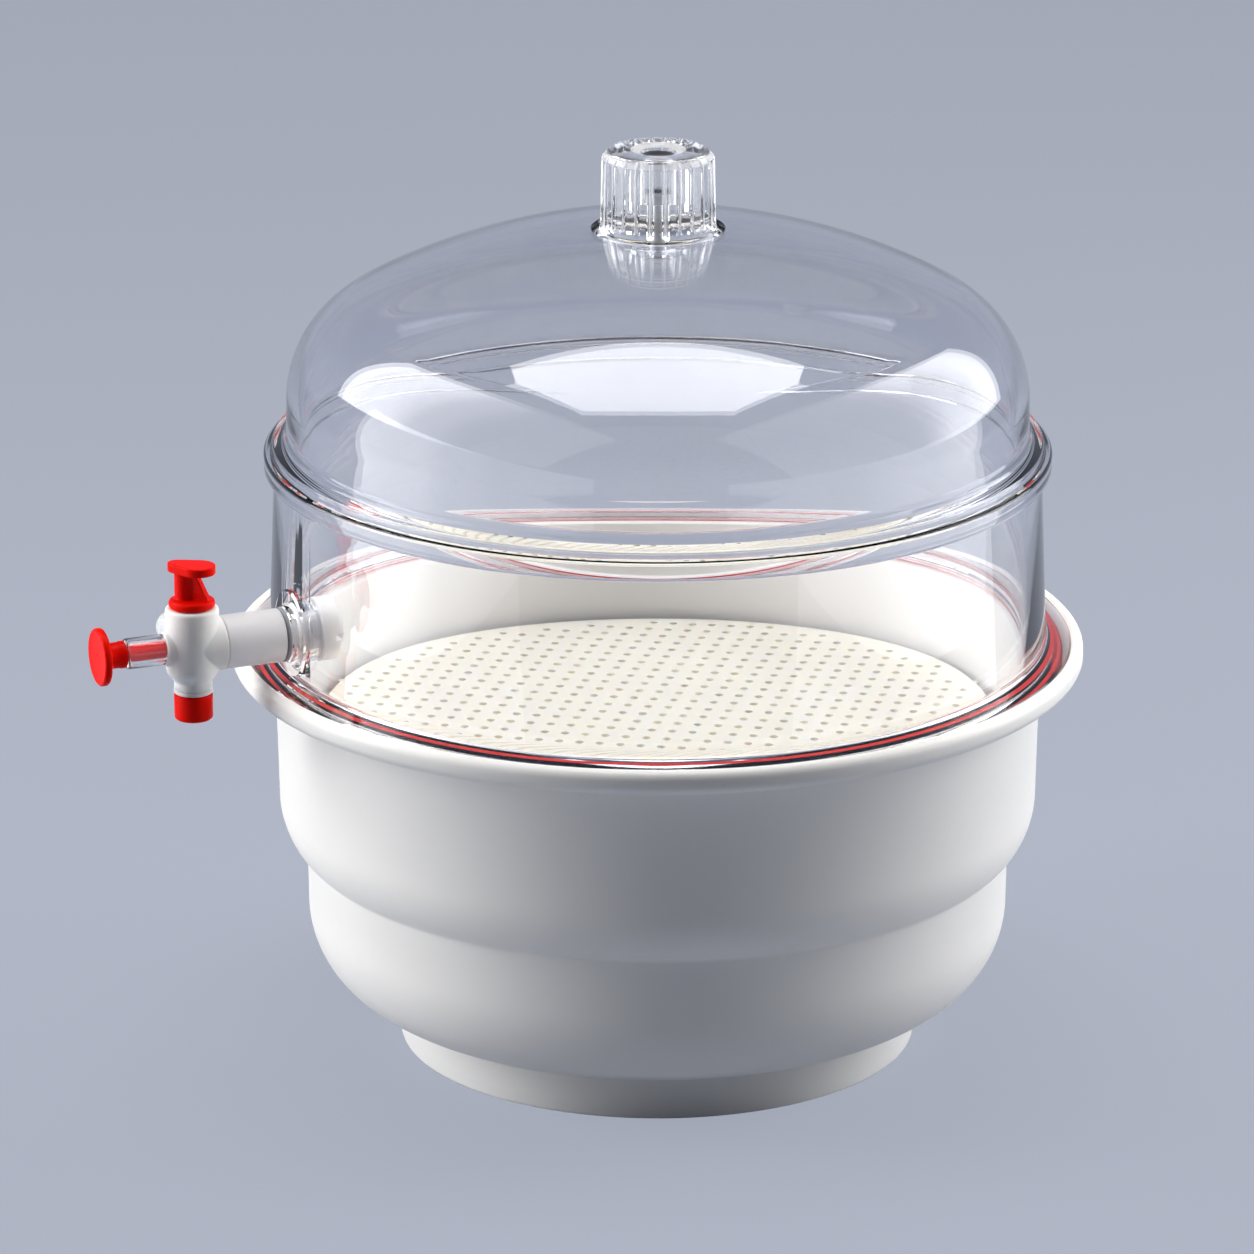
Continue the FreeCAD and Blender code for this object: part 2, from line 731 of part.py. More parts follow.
disc(barrel, "hose_passage", "XZ_Plane", -nozzle_face, nozzle_face, passage, cut=True)


# Nozzles: two like tubes, one bored for the vent stopper and one for a hose

nozzle_tail = nozzle_face - socket_depth
nozzle_end = size("nozzle_reach")
nozzle_radius = size("nozzle_radius")
nozzle_edge = size("nozzle_edge")
stopper_bore = size("stopper_stem_radius") + size("stopper_clearance")
bore_step = nozzle_end - size("stopper_depth") - size("stopper_bore_end")
nozzle_outside = [
    (nozzle_end, nozzle_radius - nozzle_edge),
    (nozzle_end - nozzle_edge, nozzle_radius),
    (nozzle_face, nozzle_radius),
    (nozzle_face, size("nozzle_tail_radius")),
    (nozzle_tail, size("nozzle_tail_radius")),
    (nozzle_tail, passage),
]
vent = new_body("vent_nozzle", barrel_x, port_height, turn=as_size(180))
vent_inside = [(bore_step, passage), (bore_step, stopper_bore), (nozzle_end, stopper_bore)]
revolve(vent, "vent_nozzle_turn", vent_inside + nozzle_outside, "H_Axis")
hose = new_body("hose_nozzle", barrel_x, port_height, turn=as_size(90))
revolve(hose, "hose_nozzle_turn", [(nozzle_end, passage)] + nozzle_outside, "H_Axis")


# Key: handle, flange and plug in one, with a T-shaped passage through the plug

key = new_body("plug_key", barrel_x, port_height, turn=size("handle_angle"))
plug_radius = size("plug_radius")
spindle = size("spindle_radius")
flange_bottom = barrel_top + size("end_clearance")
flange_face = flange_bottom + size("key_flange_height")
flange_edge = size("key_flange_edge")
seal_outer = bore_radius - size("joint_gap")
seal_inner = seal_outer - size("seal_width")
seal_half = size("seal_width") / 2
groove_half = seal_half + size("seal_groove_gap")
groove_root = seal_inner - size("seal_groove_gap")
upper_seal = size("upper_seal_height")
lower_seal = -size("lower_seal_drop")
key_corners = [
    (ZERO, -size("spindle_drop")),
    (spindle, -size("spindle_drop")),
    (spindle, -size("plug_bottom")),
    (plug_radius, -size("plug_bottom")),
    (plug_radius, lower_seal - groove_half),
    (groove_root, lower_seal - groove_half),
    (groove_root, lower_seal + groove_half),
    (plug_radius, lower_seal + groove_half),
    (plug_radius, upper_seal - groove_half),
    (groove_root, upper_seal - groove_half),
    (groove_root, upper_seal + groove_half),
    (plug_radius, upper_seal + groove_half),
    (plug_radius, flange_bottom),
    (size("key_flange_radius"), flange_bottom),
    (size("key_flange_radius"), flange_face - flange_edge),
    (size("key_flange_radius") - flange_edge, flange_face),
    (ZERO, flange_face),
]
revolve(key, "key_turn", key_corners)
lever_bottom = size("lever_height") - flange_face
disc(key, "key_stem", "XY_Plane", flange_face, lever_bottom, size("key_stem_radius"), size("key_stem_offset"))
web_sketch = new_sketch(key, "web_outline", "XZ_Plane")
web_corners = [
    (-size("key_web_foot"), flange_face),
    (size("key_stem_offset"), flange_face),
    (size("key_stem_offset"), size("lever_height")),
    (-size("key_web_top"), size("lever_height")),
]
draw_outline(web_sketch, web_corners)
extrude(key, "key_web", web_sketch, size("key_web_thickness"), symmetric=True)
heel = size("lever_heel_radius")
heel_x = -size("lever_heel_offset")
tip = size("lever_tip_radius")
tip_x = size("lever_tip_offset")
lean = (heel - tip) / (tip_x - heel_x)
upright = leg(as_size(1), lean)
lever_sketch = new_sketch(key, "lever_outline", "XY_Plane", size("lever_height"))
lever_corners = [
    (heel_x + heel * lean, heel * upright, heel, LEFT),
    (heel_x - heel, ZERO, heel, LEFT),
    (heel_x + heel * lean, -(heel * upright)),
    (tip_x + tip * lean, -(tip * upright), tip, LEFT),
    (tip_x + tip, ZERO, tip, LEFT),
    (tip_x + tip * lean, tip * upright),
]
draw_outline(lever_sketch, lever_corners)
extrude(key, "lever", lever_sketch, size("lever_thickness"))
plug_bore = size("plug_bore_radius")
disc(key, "through_bore", "YZ_Plane", -plug_radius, plug_radius * 2, plug_bore, cut=True)
disc(key, "branch_bore", "XZ_Plane", -plug_radius, plug_radius, plug_bore, cut=True)


# Seals on the plug: one square-section ring above the passages and one below

def plug_seal(name, height):
    body = new_body(name, barrel_x, port_height)
    corners = [
        (seal_inner, height - seal_half),
        (seal_outer, height - seal_half),
        (seal_outer, height + seal_half),
        (seal_inner, height + seal_half),
    ]
    revolve(body, name + "_ring", corners)


plug_seal("plug_seal_upper", upper_seal)
plug_seal("plug_seal_lower", lower_seal)


# Slip washer under the neck, and the cap that holds the key in

washer = new_body("slip_washer", barrel_x, port_height)
washer_bottom = neck_bottom - size("slip_washer_thickness")
washer_corners = [
    (spindle_bore, washer_bottom),
    (size("cap_radius"), washer_bottom),
    (size("cap_radius"), neck_bottom),
    (spindle_bore, neck_bottom),
]
revolve(washer, "slip_washer_turn", washer_corners)

cap = new_body("plug_cap", barrel_x, port_height)
cap_top = washer_bottom - size("end_clearance")
cap_socket_end = -(size("spindle_drop") + size("joint_gap"))
cap_bottom = cap_socket_end - size("cap_floor")
cap_bevel = size("cap_bevel")
cap_bore = spindle + size("joint_gap")
cap_corners = [
    (ZERO, cap_bottom),
    (size("cap_radius") - cap_bevel, cap_bottom),
    (size("cap_radius"), cap_bottom + cap_bevel),
    (size("cap_radius"), cap_top),
    (cap_bore, cap_top),
    (cap_bore, cap_socket_end),
    (ZERO, cap_socket_end),
]
revolve(cap, "cap_turn", cap_corners)


# Vent stopper: a stem that closes the vent nozzle, with a round push plate

stopper = new_body("vent_stopper", barrel_x, port_height, turn=as_size(180))
stem = size("stopper_stem_radius")
stem_start = nozzle_end - size("stopper_depth")
neck_start = nozzle_end + size("stopper_gap")
neck_end = neck_start + size("stopper_neck_length")
plate_end = neck_end + size("stopper_disc_thickness")
disc_edge = size("stopper_disc_edge")
push_radius = size("stopper_disc_radius")
stopper_corners = [
    (stem_start, ZERO),
    (plate_end, ZERO),
    (plate_end, push_radius - disc_edge),
    (plate_end - disc_edge, push_radius),
    (neck_end, push_radius),
    (neck_end, size("stopper_neck_radius")),
    (neck_start, size("stopper_neck_radius")),
    (neck_start, stem),
    (stem_start, stem),
]
revolve(stopper, "stopper_turn", stopper_corners, "H_Axis")


# Check every object and write one file for each piece

doc.recompute()
for item in doc.Objects:
    if "Invalid" in item.State or "Error" in item.State:
        raise RuntimeError(f"{item.Name} is {item.State}")
os.makedirs("parts", exist_ok=True)
for body in doc.findObjects("PartDesign::Body"):
    shape = body.Shape
    if shape.isNull() or not shape.isValid() or not shape.Solids:
        raise RuntimeError(f"{body.Label} has no valid solid")
    shape.exportStep(f"parts/{body.Label}.step")
    box = shape.BoundBox
    print(f"{body.Label}: {len(shape.Solids)} solid, {shape.Volume / 1000:.2f} cm3, "
          f"x {box.XMin:.1f} to {box.XMax:.1f}, y {box.YMin:.1f} to {box.YMax:.1f}, "
          f"z {box.ZMin:.1f} to {box.ZMax:.1f}")
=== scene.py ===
import math

import bpy
from mathutils import Matrix, Vector


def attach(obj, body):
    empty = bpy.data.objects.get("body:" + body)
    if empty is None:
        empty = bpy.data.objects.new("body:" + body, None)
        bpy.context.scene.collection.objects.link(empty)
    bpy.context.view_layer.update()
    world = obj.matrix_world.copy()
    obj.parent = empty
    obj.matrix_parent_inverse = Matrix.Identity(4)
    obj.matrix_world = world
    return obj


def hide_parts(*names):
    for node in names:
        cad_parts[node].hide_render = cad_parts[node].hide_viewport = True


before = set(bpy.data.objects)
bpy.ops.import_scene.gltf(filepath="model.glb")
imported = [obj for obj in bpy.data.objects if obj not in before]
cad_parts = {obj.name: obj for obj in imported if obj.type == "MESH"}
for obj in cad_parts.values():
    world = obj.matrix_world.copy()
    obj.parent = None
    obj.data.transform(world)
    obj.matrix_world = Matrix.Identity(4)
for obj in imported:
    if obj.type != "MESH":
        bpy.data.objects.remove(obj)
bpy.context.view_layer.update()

# Base bowl
# A deep bowl on a foot ring, moulded in one piece in white polypropylene, with a flat rim round a groove for
# the gasket and eight ribs inside for the plate. The tool left it satin, with a fine even grain.


def rounded(centre_r, centre_z, radius, start, end, count):
    """Points of an arc in a turned piece's outline, in mm, between two angles in degrees."""
    turn = [math.radians(start + (end - start) * i / count) for i in range(count + 1)]
    return [(centre_r + radius * math.cos(a), centre_z + radius * math.sin(a)) for a in turn]


def turned_piece(name, outline, steps, closed=False, axis="Z", at=(0, 0, 0)):
    """Draws an outline of (radius, height) in mm edge by edge and spins it round an axis through a point in
    mm. With axis X or Y the heights run along that axis instead."""
    along = {"X": Vector((1, 0, 0)), "Y": Vector((0, 1, 0)), "Z": Vector((0, 0, 1))}[axis]
    across = Vector((0, 0, 1)) if axis != "Z" else Vector((1, 0, 0))
    foot = Vector(at) / 1000
    places = [foot + across * (r / 1000) + along * (z / 1000) for r, z in outline]
    bpy.ops.object.select_all(action="DESELECT")
    bpy.ops.mesh.primitive_plane_add(size=0.001, location=(0, 0, 0))
    piece = bpy.context.object
    piece.name = name
    bpy.ops.object.mode_set(mode="EDIT")
    bpy.ops.mesh.select_all(action="SELECT")
    bpy.ops.mesh.merge(type="CENTER")
    bpy.ops.transform.translate(value=places[0])
    for here, there in zip(places, places[1:]):
        bpy.ops.mesh.extrude_region_move(TRANSFORM_OT_translate={"value": there - here})
    if closed:
        bpy.ops.mesh.extrude_region_move(TRANSFORM_OT_translate={"value": places[0] - places[-1]})
    bpy.ops.mesh.select_all(action="SELECT")
    bpy.ops.mesh.spin(steps=steps, angle=math.tau, center=foot, axis=along)
    bpy.ops.mesh.select_all(action="SELECT")
    bpy.ops.mesh.remove_doubles(threshold=0.000004)
    bpy.ops.mesh.normals_make_consistent(inside=False)
    bpy.ops.object.mode_set(mode="OBJECT")
    return piece


def select_only(piece):
    """Makes a piece the only one selected, and the active one."""
    bpy.ops.object.select_all(action="DESELECT")
    piece.select_set(True)
    bpy.context.view_layer.objects.active = piece


def join_into(piece, others):
    """Makes others part of a piece's mesh."""
    select_only(piece)
    for other in others:
        other.select_set(True)
    bpy.ops.object.join()


def colour(code):
    """An sRGB hex colour as the linear values that a shader takes."""
    parts = [int(code[i : i + 2], 16) / 255 for i in (1, 3, 5)]
    return [p / 12.92 if p <= 0.04045 else ((p + 0.055) / 1.055) ** 2.4 for p in parts] + [1.0]


def add_node(material, kind, settings=(), links=()):
    """Adds a node, sets its values and joins its inputs, by name or number, to other nodes' outputs."""
    node = material.node_tree.nodes.new(kind)
    for name, value in dict(settings).items():
        if isinstance(name, str) and hasattr(node, name):
            setattr(node, name, value)
        else:
            node.inputs[name].default_value = value
    for name, output in dict(links).items():
        material.node_tree.links.new(output, node.inputs[name])
    return node


def new_material(name, settings):
    """A material, and its shader with these settings."""
    material = bpy.data.materials.new(name)
    material.use_nodes = True
    shader = material.node_tree.nodes["Principled BSDF"]
    for socket, value in settings.items():
        shader.inputs[socket].default_value = value
    return material, shader


def moulded_polypropylene(name, tone, flow_tone, glow=0.12, reach=0.002, spread=(1.0, 0.95, 0.85)):
    """Injection-moulded polypropylene: satin, with a grain of 0.5 mm and faint changes of tone 70 mm wide
    where the melt flowed. A share of the light, glow, passes under the skin, as far as reach in metres."""
    under_skin = {"Subsurface Weight": glow, "Subsurface Radius": spread, "Subsurface Scale": reach}
    material, shader = new_material(name, {"IOR": 1.49, **under_skin})
    link = material.node_tree.links.new
    place = add_node(material, "ShaderNodeTexCoord").outputs["Object"]
    flow = add_node(material, "ShaderNodeTexNoise", {"Scale": 14.0, "Detail": 2.0}, {"Vector": place})
    tones = {"data_type": "RGBA", 6: colour(tone), 7: colour(flow_tone)}
    mix = add_node(material, "ShaderNodeMix", tones, {"Factor": flow.outputs["Fac"]})
    link(mix.outputs[2], shader.inputs["Base Color"])
    satin = {"From Min": 0.3, "From Max": 0.7, "To Min": 0.34, "To Max": 0.42}
    gloss = add_node(material, "ShaderNodeMapRange", satin, {"Value": flow.outputs["Fac"]})
    link(gloss.outputs["Result"], shader.inputs["Roughness"])
    grain = add_node(material, "ShaderNodeTexNoise", {"Scale": 1 / 0.0005, "Detail": 1.0}, {"Vector": place})
    relief = {"Strength": 0.05, "Distance": 0.00005}
    bump = add_node(material, "ShaderNodeBump", relief, {"Height": grain.outputs["Fac"]})
    link(bump.outputs["Normal"], shader.inputs["Normal"])
    return material


def coat(piece, material, angle=40):
    """Smooth shading, except over edges sharper than the angle in degrees, and the piece's only material."""
    select_only(piece)
    bpy.ops.object.shade_smooth_by_angle(angle=math.radians(angle))
    piece.data.materials.clear()
    piece.data.materials.append(material)


# The wall, 4 mm thick, follows a wide arc below the step and another above it. Each has its centre as
# (radius, height) in mm, and the outline runs up the outside, over the rim and down the inside.
full_round = 256
wall = 4.0
lower_arc = (86.7, 49.2)
lower_radius = 33.3
upper_arc = (103.5, 88.0)
upper_radius = 26.0

foot_outside = [(0, 15.9), (84.2, 15.9), (84.6, 1.0), (84.9, 0.3), (85.6, 0), (87.6, 0), (88.3, 0.3)]
foot_outside += [(88.6, 1.0)]
lower_outside = rounded(*lower_arc, lower_radius, -87.2, 0, 30)
lower_outside += [(120.25, 67.8), (120.5, 68.7), (121.0, 69.4)]
upper_outside = rounded(*upper_arc, upper_radius, -40.0, 0, 14) + [(130.4, 130.0), (130.9, 130.9)]
rim_outside = [(136.4, 134.4), (137.4, 134.8), (142.5, 134.8), (143.2, 135.0), (144.6, 136.7), (145.0, 137.6)]
rim_top = rounded(141.9, 139.9, 3.1, 0, 88, 10) + rounded(141.8, 142.6, 0.4, 92, 180, 3)
gasket_land = [(141.4, 138.3), (140.9, 137.8), (136.2, 137.8), (135.9, 137.5), (135.9, 136.0), (131.9, 136.0)]
inner_land = [(131.9, 137.5), (131.6, 137.8), (127.3, 137.8), (126.7, 137.5), (126.4, 136.8)]
upper_inside = rounded(*upper_arc, upper_radius - wall, 0, -50.0, 14)
upper_inside += [(116.9, 70.6), (116.4, 69.8), (116.3, 68.7)]
lower_inside = rounded(*lower_arc, lower_radius - wall, 0, -90, 24) + [(0, 19.9)]
bowl_outline = foot_outside + lower_outside + upper_outside + rim_outside + rim_top
bowl_outline += gasket_land + inner_land + upper_inside + lower_inside
bowl = turned_piece("bowl_moulding", bowl_outline, full_round)

# Each rib is an upright block, in metres, whose outer edge leans in below the bend as the bowl narrows.
rib_count = 8
rib_middle = (0.12225, 0, 0.0865)
rib_size = (0.0105, 0.003, 0.034)
rib_bend = 0.088
rib_lean = 0.0095
rib_edge = 0.0004
ribs = []
for number in range(rib_count):
    bpy.ops.object.select_all(action="DESELECT")
    bpy.ops.mesh.primitive_cube_add(size=1, location=rib_middle)
    rib = bpy.context.object
    rib.scale = rib_size
    bpy.ops.object.transform_apply(location=True, rotation=True, scale=True)
    bpy.ops.object.mode_set(mode="EDIT")
    bpy.ops.mesh.select_all(action="SELECT")
    bpy.ops.mesh.bisect(plane_co=(0, 0, rib_bend), plane_no=(0, 0, 1))
    bpy.ops.object.mode_set(mode="OBJECT")
    for point in rib.data.vertices:
        point.select = point.co.z < rib_middle[2] and point.co.x > rib_middle[0]
    bpy.ops.object.mode_set(mode="EDIT")
    bpy.ops.transform.translate(value=(-rib_lean, 0, 0))
    bpy.ops.mesh.select_all(action="SELECT")
    bpy.ops.mesh.bevel(offset=rib_edge, segments=2)
    bpy.ops.object.mode_set(mode="OBJECT")
    rib.data.transform(Matrix.Rotation(math.tau * number / rib_count, 4, "Z"))
    ribs.append(rib)
join_into(bowl, ribs)
coat(bowl, moulded_polypropylene("satin_white_moulded_polypropylene", "#EFEDE9", "#EBE9E5"), 50)
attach(bowl, "base")
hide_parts("base_bowl")

# Rim gasket
# A soft red silicone ring of square section with rounded top edges, pressed into the rim's groove. The cover
# rests on its crown, a narrow strip, so the flange shows it as a thin red line.


def rubbery(name, tone, shine):
    """Moulded rubber: an even colour, a soft sheen at shallow angles, dust in patches 17 mm wide and a fine
    texture of about 0.8 mm."""
    settings = {"IOR": 1.43, "Roughness": shine, "Sheen Weight": 0.08, "Sheen Roughness": 0.4}
    material, shader = new_material(name, settings)
    link = material.node_tree.links.new
    place = add_node(material, "ShaderNodeTexCoord").outputs["Object"]
    dust = add_node(material, "ShaderNodeTexNoise", {"Scale": 60.0, "Detail": 4.0}, {"Vector": place})
    dusty = {"From Min": 0.3, "From Max": 0.7, "To Min": 0.93, "To Max": 1.05}
    value = add_node(material, "ShaderNodeMapRange", dusty, {"Value": dust.outputs["Fac"]})
    shade = add_node(
        material, "ShaderNodeHueSaturation", {"Color": colour(tone)}, {"Value": value.outputs["Result"]}
    )
    link(shade.outputs["Color"], shader.inputs["Base Color"])
    pores = add_node(material, "ShaderNodeTexNoise", {"Scale": 1 / 0.0008, "Detail": 1.0}, {"Vector": place})
    relief = {"Strength": 0.12, "Distance": 0.00005}
    bump = add_node(material, "ShaderNodeBump", relief, {"Height": pores.outputs["Fac"]})
    link(bump.outputs["Normal"], shader.inputs["Normal"])
    return material


gasket_outline = [(132.0, 136.0), (135.8, 136.0)] + rounded(135.3, 138.9, 0.5, 0, 90, 4)
gasket_outline += [(133.9, 139.54)] + rounded(132.5, 139.04, 0.5, 90, 180, 4)
gasket = turned_piece("gasket_ring", gasket_outline, full_round, closed=True)
coat(gasket, rubbery("red_moulded_silicone", "#C81A0C", 0.4), 50)
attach(gasket, "base")
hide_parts("rim_gasket")

# Perforated plate
# A loose disc of warmer, ivory polypropylene that lies on the ribs, drilled through with hundreds of 3 mm
# holes in slanting rows so that air can pass down to the drying agent. Light that passes into the plate
# warms the holes' walls.

plate_radius = 121.0
plate_thickness = 0.003
plate_bottom = 0.1035
hole_radius = 0.0015
hole_sides = 14
solid_edge = 4.5
row_count = 37
row_length = 33
# From a hole to the next one in its row, and to the next row, in mm.
along_row = Vector((4.78, 6.64, 0))
to_next_row = Vector((6.04, -3.73, 0))
bpy.ops.object.select_all(action="DESELECT")
bpy.ops.mesh.primitive_circle_add(vertices=hole_sides, radius=hole_radius, location=(0, 0, 0))
plate = bpy.context.object
plate.name = "drilled_plate"
for count, offset in ((row_count, to_next_row), (row_length, along_row)):
    rows = plate.modifiers.new("rows", "ARRAY")
    rows.count = count
    rows.use_relative_offset = False
    rows.use_constant_offset = True
    rows.constant_offset_displace = offset / 1000
    bpy.ops.object.modifier_apply(modifier=rows.name)
first_hole = (to_next_row * -(row_count // 2) + along_row * -(row_length // 2)) / 1000
plate.data.transform(Matrix.Translation((first_hole.x, first_hole.y, plate_bottom)))
points = plate.data.vertices
for first in range(0, len(points), hole_sides):
    middle = sum((points[first + i].co for i in range(hole_sides)), Vector()) / hole_sides
    beyond = math.hypot(middle.x, middle.y) > (plate_radius - solid_edge) / 1000
    for i in range(hole_sides):
        points[first + i].select = beyond
for edge in plate.data.edges:
    edge.select = all(points[i].select for i in edge.vertices)
bpy.ops.object.mode_set(mode="EDIT")
bpy.ops.mesh.delete(type="VERT")
bpy.ops.mesh.select_all(action="DESELECT")
bpy.ops.mesh.primitive_circle_add(
    vertices=full_round, radius=plate_radius / 1000, location=(0, 0, plate_bottom)
)
bpy.ops.mesh.select_all(action="SELECT")
bpy.ops.mesh.fill()
bpy.ops.mesh.select_all(action="SELECT")
bpy.ops.mesh.normals_make_consistent(inside=False)
bpy.ops.object.mode_set(mode="OBJECT")
if plate.data.polygons[0].normal.z < 0:
    plate.data.flip_normals()
body = plate.modifiers.new("thickness", "SOLIDIFY")
body.thickness = plate_thickness
body.offset = 1
bpy.ops.object.modifier_apply(modifier=body.name)
ivory = moulded_polypropylene(
    "satin_ivory_moulded_polypropylene", "#F4EEE0", "#F0E9DA", 1.0, 0.0028, (1.0, 0.9, 0.65)
)
coat(plate, ivory)
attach(plate, "plate")
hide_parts("perforated_plate")

# Cover
# A domed lid moulded in clear polycarbonate, 4.2 mm thick, with a flange that lies on the gasket, a bead
# round its shoulder, a recess for the knob and a port for the stopcock. Polished tools leave it glossy.


def clear_polycarbonate(name, tone, clearness=1.0, matt=0.015):
    """Clear moulded polycarbonate: a faint violet cast in the cover and none in the knob, and flow ripples
    about 40 mm wide that only bend the reflections a little. Less clear and more matt, it is frosted."""
    glassy = {"IOR": 1.585, "Transmission Weight": clearness, "Roughness": matt}
    material, shader = new_material(name, {"Base Color": colour(tone), **glassy})
    place = add_node(material, "ShaderNodeTexCoord").outputs["Object"]
    ripple = add_node(material, "ShaderNodeTexNoise", {"Scale": 1 / 0.04, "Detail": 1.0}, {"Vector": place})
    relief = {"Strength": 0.02, "Distance": 0.001}
    bump = add_node(material, "ShaderNodeBump", relief, {"Height": ripple.outputs["Fac"]})
    material.node_tree.links.new(bump.outputs["Normal"], shader.inputs["Normal"])
    return material


def let_light_through(piece):
    """Clear pieces don't darken what is behind them: lamps shine through. Cameras and mirrors see them."""
    piece.visible_shadow = False
    piece.visible_diffuse = False


def cut_with(piece, tool, operation):
    """Joins or cuts a piece with another and takes the other away."""
    select_only(piece)
    cut = piece.modifiers.new("cut", "BOOLEAN")
    cut.operation = operation
    cut.object = tool
    cut.solver = "EXACT"
    bpy.ops.object.modifier_apply(modifier=cut.name)
    bpy.data.objects.remove(tool)


cover_wall = 4.2
crown_centre = (0, 67.01)
crown_radius = 220.0
knuckle_centre = (89.0, 227.6)
knuckle_radius = 36.4
port_centre = (0, 0, 159.0)

flange = [(128.0, 139.9), (128.4, 139.5), (140.2, 139.5), (140.9, 140.2), (140.9, 141.9), (140.3, 142.6)]
skirt = rounded(134.9, 146.25, 2.7, -99.6, -178, 8) + [(130.0, 202.6)]
skirt += rounded(131.2, 203.2, 1.2, 180, 120, 2)
bead = [(132.3, 203.8)] + rounded(132.1, 205.0, 1.2, -60, 0, 4) + rounded(132.1, 208.8, 1.2, 0, 90, 5)
step = [(131.2, 210.1), (130.7, 210.6), (130.5, 212.2)] + rounded(129.5, 212.3, 0.9, 0, 80, 4)
step += [(126.6, 214.4), (125.6, 216.2)]
knuckle = rounded(*knuckle_centre, knuckle_radius, 0, 61.0, 30)
crown = rounded(*crown_centre, crown_radius, 61.1, 84.1, 40)
seat = [(22.4, 285.7), (22.0, 285.3), (21.7, 284.6), (21.6, 283.3), (2.4, 283.3), (2.4, 275.6), (2.8, 275.2)]
seat += [(8.4, 275.2), (9.0, 275.8), (9.0, 281.4), (10.2, 282.6)]
inner_crown = rounded(*crown_centre, crown_radius - cover_wall, 87.2, 61.1, 46)
inner_knuckle = rounded(*knuckle_centre, knuckle_radius - cover_wall, 61.0, 0, 30)
inner_skirt = [(121.2, 217.6), (122.2, 214.6), (124.8, 212.2), (125.8, 209.6), (125.8, 203.2), (128.0, 144.5)]
cover_outline = flange + skirt + bead + step + knuckle + crown + seat
cover_outline += inner_crown + inner_knuckle + inner_skirt
cover = turned_piece("clear_cover", cover_outline, full_round, closed=True)
boss_outline = [(0, -120.0), (10.6, -122.6), (10.6, -127.0), (15.0, -129.0), (15.0, -132.3), (14.3, -133.03)]
boss_outline += [(10.4, -133.03), (9.8, -133.6), (9.5, -134.5), (9.1, -134.83), (0, -134.83)]
cut_with(cover, turned_piece("port_boss", boss_outline, 64, axis="X", at=port_centre), "UNION")
hole_outline = [(0, -150.0), (6.7, -150.0), (6.7, -110.0), (0, -110.0)]
cut_with(cover, turned_piece("port_hole", hole_outline, 64, axis="X", at=port_centre), "DIFFERENCE")
coat(cover, clear_polycarbonate("clear_polished_polycarbonate", "#F7F8FC"), 30)
let_light_through(cover)
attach(cover, "cover")
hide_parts("cover_dome")

# Lift knob
# The knob for lifting the cover, moulded in the same clear polycarbonate: a beaded foot and a plain collar,
# then 24 thin upright ribs for grip, a frosted chamfer and a dished top with a well for the screw.

# A rib and half the hollow to each side of it take 16 facets. Each facet's line stands so many mm from the
# crest and keeps so much of the rib's height. A rib fades in above the collar and out below the chamfer's
# top. Only points further out than outer_wall are on the knob's outside.
knob_foot = 283.4
grip_count = 24
grip_facets = 16
grip_radius = 19.5
grip_depth = 0.8
grip_bottom = 4.6
grip_top = 28.9
fade_in = 0.8
fade_out = 2.4
outer_wall = 12
from_crest = (0.0, 0.18, 0.35, 0.5, 0.64, 0.95, 1.45, 2.0, 2.552)
share_of_height = (1.0, 0.97, 0.82, 0.5, 0.12, 0.0, 0.0, 0.0, 0.0)
knob_outline = [(2.6, 0.0), (20.6, 0), (21.1, 0.3), (21.2, 0.8), (20.9, 1.3), (20.2, 1.7), (19.75, 2.3)]
knob_outline += [(19.6, 3.2), (19.55, 4.4), (19.55, 4.9), (19.5, 5.5), (19.5, 6.2), (19.4, 12.0)]
knob_outline += [(19.3, 18.0), (19.2, 24.0), (19.15, 26.2), (19.0, 26.8), (18.6, 27.4), (17.4, 28.7)]
knob_outline += [(17.0, 29.2), (16.5, 29.5), (16.0, 29.6), (9.3, 29.6), (8.95, 29.45), (8.6, 28.9)]
knob_outline += [(8.3, 28.75), (6.5, 28.75), (6.1, 28.6), (5.8, 28.2), (5.7, 27.6), (5.7, 12.8), (2.6, 12.8)]
knob = turned_piece("ribbed_knob", knob_outline, grip_count * grip_facets, closed=True, at=(0, 0, knob_foot))
for point in knob.data.vertices:
    height = point.co.z * 1000 - knob_foot
    out = math.hypot(point.co.x, point.co.y) * 1000
    if height > grip_bottom and out > outer_wall:
        number = round(math.atan2(point.co.y, point.co.x) / math.tau * grip_count * grip_facets)
        facet = number % grip_facets
        past_middle = facet > grip_facets // 2
        nearest = grip_facets - facet if past_middle else facet
        crest = math.tau / grip_count * (number // grip_facets + past_middle)
        angle = crest + (-1 if past_middle else 1) * from_crest[nearest] / grip_radius
        fade = min(1, (height - grip_bottom) / fade_in) * min(1, max(0, (grip_top - height) / fade_out))
        depth = grip_depth * (1 - share_of_height[nearest]) * fade
        point.co.x = (out - depth) * math.cos(angle) / 1000
        point.co.y = (out - depth) * math.sin(angle) / 1000
coat(knob, clear_polycarbonate("clear_ribbed_polycarbonate", "#FCFCFD"))
# The chamfer is frosted. The same milky white on thin strips along the rib crests and round the well's edge
# is a painted highlight: bright lines where the ribs and the well's rim catch the light.
knob.data.materials.append(clear_polycarbonate("frosted_polycarbonate_and_painted_highlight", "#FFFFFF", 0.7, 0.32))
for face in knob.data.polygons:
    height = face.center.z * 1000 - knob_foot
    out = math.hypot(face.center.x, face.center.y) * 1000
    around = math.atan2(face.center.y, face.center.x) / math.tau * grip_count % 1
    on_chamfer = out > 16 and 26.6 < height < grip_top
    on_crest = out > 18.9 and 4.9 < height < 26.7 and min(around, 1 - around) < 0.055
    on_well_edge = 28.6 < height < 29.6 and 6.2 < out < 9.4
    if on_chamfer or on_crest or on_well_edge:
        face.material_index = 1
let_light_through(knob)
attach(knob, "cover")
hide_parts("lift_knob")

